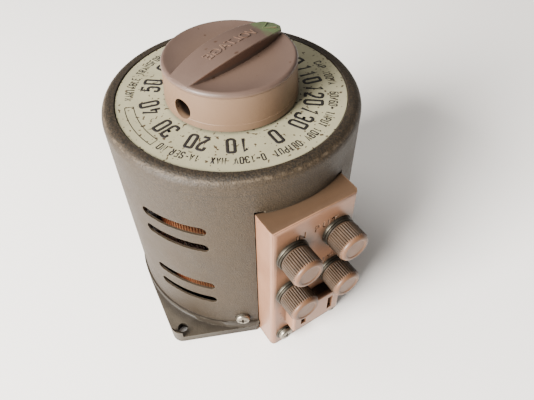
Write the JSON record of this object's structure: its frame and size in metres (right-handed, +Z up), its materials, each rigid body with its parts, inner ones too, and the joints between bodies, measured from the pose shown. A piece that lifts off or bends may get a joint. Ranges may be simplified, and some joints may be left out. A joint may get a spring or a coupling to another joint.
{
  "type": "variable autotransformer",
  "caption": "Round bench variable autotransformer: vented drum on an eared cast base, voltage dial with pointer knob, binding posts and a plug outlet on a front terminal block.",
  "frame": {"origin": "on the shaft axis, level with the undersides of the base ears, which is the resting plane", "axes": "+Z up along the shaft; the terminal block faces -Y; +X is to the right of someone facing the block"},
  "size_m": [0.1002, 0.1201, 0.1089],
  "materials": {
    "base_casting": "dark paint on a cast plate, worn at the edges",
    "drum_paint": "fine hammered paint",
    "dial_paint": "printed enamel",
    "block_plastic": "aged moulding",
    "knob_plastic": "satin moulding",
    "post_cap_plastic": "satin moulding, dirty between the ribs",
    "nickel": "dull nickel plate",
    "screw_steel": "plated",
    "brass": "plain",
    "winding_wire": "enamelled copper",
    "fibre": "pressed fibre",
    "core_steel": "strip edges",
    "arm_casting": "as cast",
    "brush_carbon": "carbon",
    "lead_white": "insulated wire",
    "lead_red": "insulated wire",
    "lead_blue": "insulated wire"
  },
  "bodies": {
    "frame": {"base_plate": "base_casting", "centre_tube": "brass", "clamp_nut": "screw_steel", "clamp_plate": "screw_steel", "collector_ring": "brass", "core": "core_steel", "dial_plate": "dial_paint", "former_lower": "fibre", "former_upper": "fibre", "housing": "drum_paint", "housing_screws": "screw_steel", "insulation_sheet": "fibre", "jumper_strap": "brass", "lead_start": "lead_white", "lead_tap": "lead_blue", "lead_wiper": "lead_red", "lock_washer": "screw_steel", "outlet_contact_left": "brass", "outlet_contact_right": "brass", "post_collars": "nickel", "post_nuts": "brass", "post_studs": "brass", "solder_lugs": "brass", "spacer_washers": "brass", "spring_washer": "screw_steel", "stop_pin": "screw_steel", "terminal_cover": "block_plastic", "terminal_screws": "screw_steel", "terminal_washers": "nickel", "thrust_washer": "screw_steel", "washer_lower": "fibre", "washer_upper": "fibre", "winding": "winding_wire"},
    "rotor": {"shaft": "screw_steel", "retaining_clip": "screw_steel", "hub_bush": "fibre", "brush_arm": "arm_casting", "brush_spring": "screw_steel", "contact_shoe": "brass", "knob": "knob_plastic", "knob_insert": "brass", "knob_set_screw": "screw_steel"},
    "brush": {"carbon_brush": "brush_carbon"},
    "washer_output_left": {"washer_output_left": "nickel"},
    "cap_output_left": {"cap_output_left": "post_cap_plastic"},
    "washer_output_right": {"washer_output_right": "nickel"},
    "cap_output_right": {"cap_output_right": "post_cap_plastic"},
    "washer_input_left": {"washer_input_left": "nickel"},
    "cap_input_left": {"cap_input_left": "post_cap_plastic"},
    "washer_input_right": {"washer_input_right": "nickel"},
    "cap_input_right": {"cap_input_right": "post_cap_plastic"}
  },
  "joints": [
    {"name": "knob_turn", "type": "hinge", "parent": "frame", "child": "rotor", "pos_m": [0, 0, 0.09], "axis": [0, 0, 1], "range_deg": [-78.2, 255.2]},
    {"name": "brush_lift", "type": "slide", "parent": "rotor", "child": "brush", "axis": [0, 0, 1], "range_m": [0, 0.0012], "stiffness_N_per_m": 350, "springref_m": -0.004, "deforming": ["brush_spring"]},
    {"name": "washer_travel_output_left", "type": "slide", "parent": "frame", "child": "washer_output_left", "axis": [0, -1, 0], "range_m": [0, 0.0035]},
    {"name": "cap_turn_output_left", "type": "hinge", "parent": "washer_output_left", "child": "cap_output_left", "pos_m": [-0.0095, -0.059, 0.0374], "axis": [0, -1, 0], "range_deg": [0, 1800]},
    {"name": "washer_travel_output_right", "type": "slide", "parent": "frame", "child": "washer_output_right", "axis": [0, -1, 0], "range_m": [0, 0.0035]},
    {"name": "cap_turn_output_right", "type": "hinge", "parent": "washer_output_right", "child": "cap_output_right", "pos_m": [0.0095, -0.059, 0.0374], "axis": [0, -1, 0], "range_deg": [0, 1800]},
    {"name": "washer_travel_input_left", "type": "slide", "parent": "frame", "child": "washer_input_left", "axis": [0, -1, 0], "range_m": [0, 0.0035]},
    {"name": "cap_turn_input_left", "type": "hinge", "parent": "washer_input_left", "child": "cap_input_left", "pos_m": [-0.0095, -0.059, 0.06], "axis": [0, -1, 0], "range_deg": [0, 1800]},
    {"name": "washer_travel_input_right", "type": "slide", "parent": "frame", "child": "washer_input_right", "axis": [0, -1, 0], "range_m": [0, 0.0035]},
    {"name": "cap_turn_input_right", "type": "hinge", "parent": "washer_input_right", "child": "cap_input_right", "pos_m": [0.0095, -0.059, 0.06], "axis": [0, -1, 0], "range_deg": [0, 1800]}
  ],
  "couplings": [
    {"joint": "cap_turn_output_left", "follows": "washer_travel_output_left", "rad_per_m": 8976},
    {"joint": "cap_turn_output_right", "follows": "washer_travel_output_right", "rad_per_m": 8976},
    {"joint": "cap_turn_input_left", "follows": "washer_travel_input_left", "rad_per_m": 8976},
    {"joint": "cap_turn_input_right", "follows": "washer_travel_input_right", "rad_per_m": 8976}
  ]
}
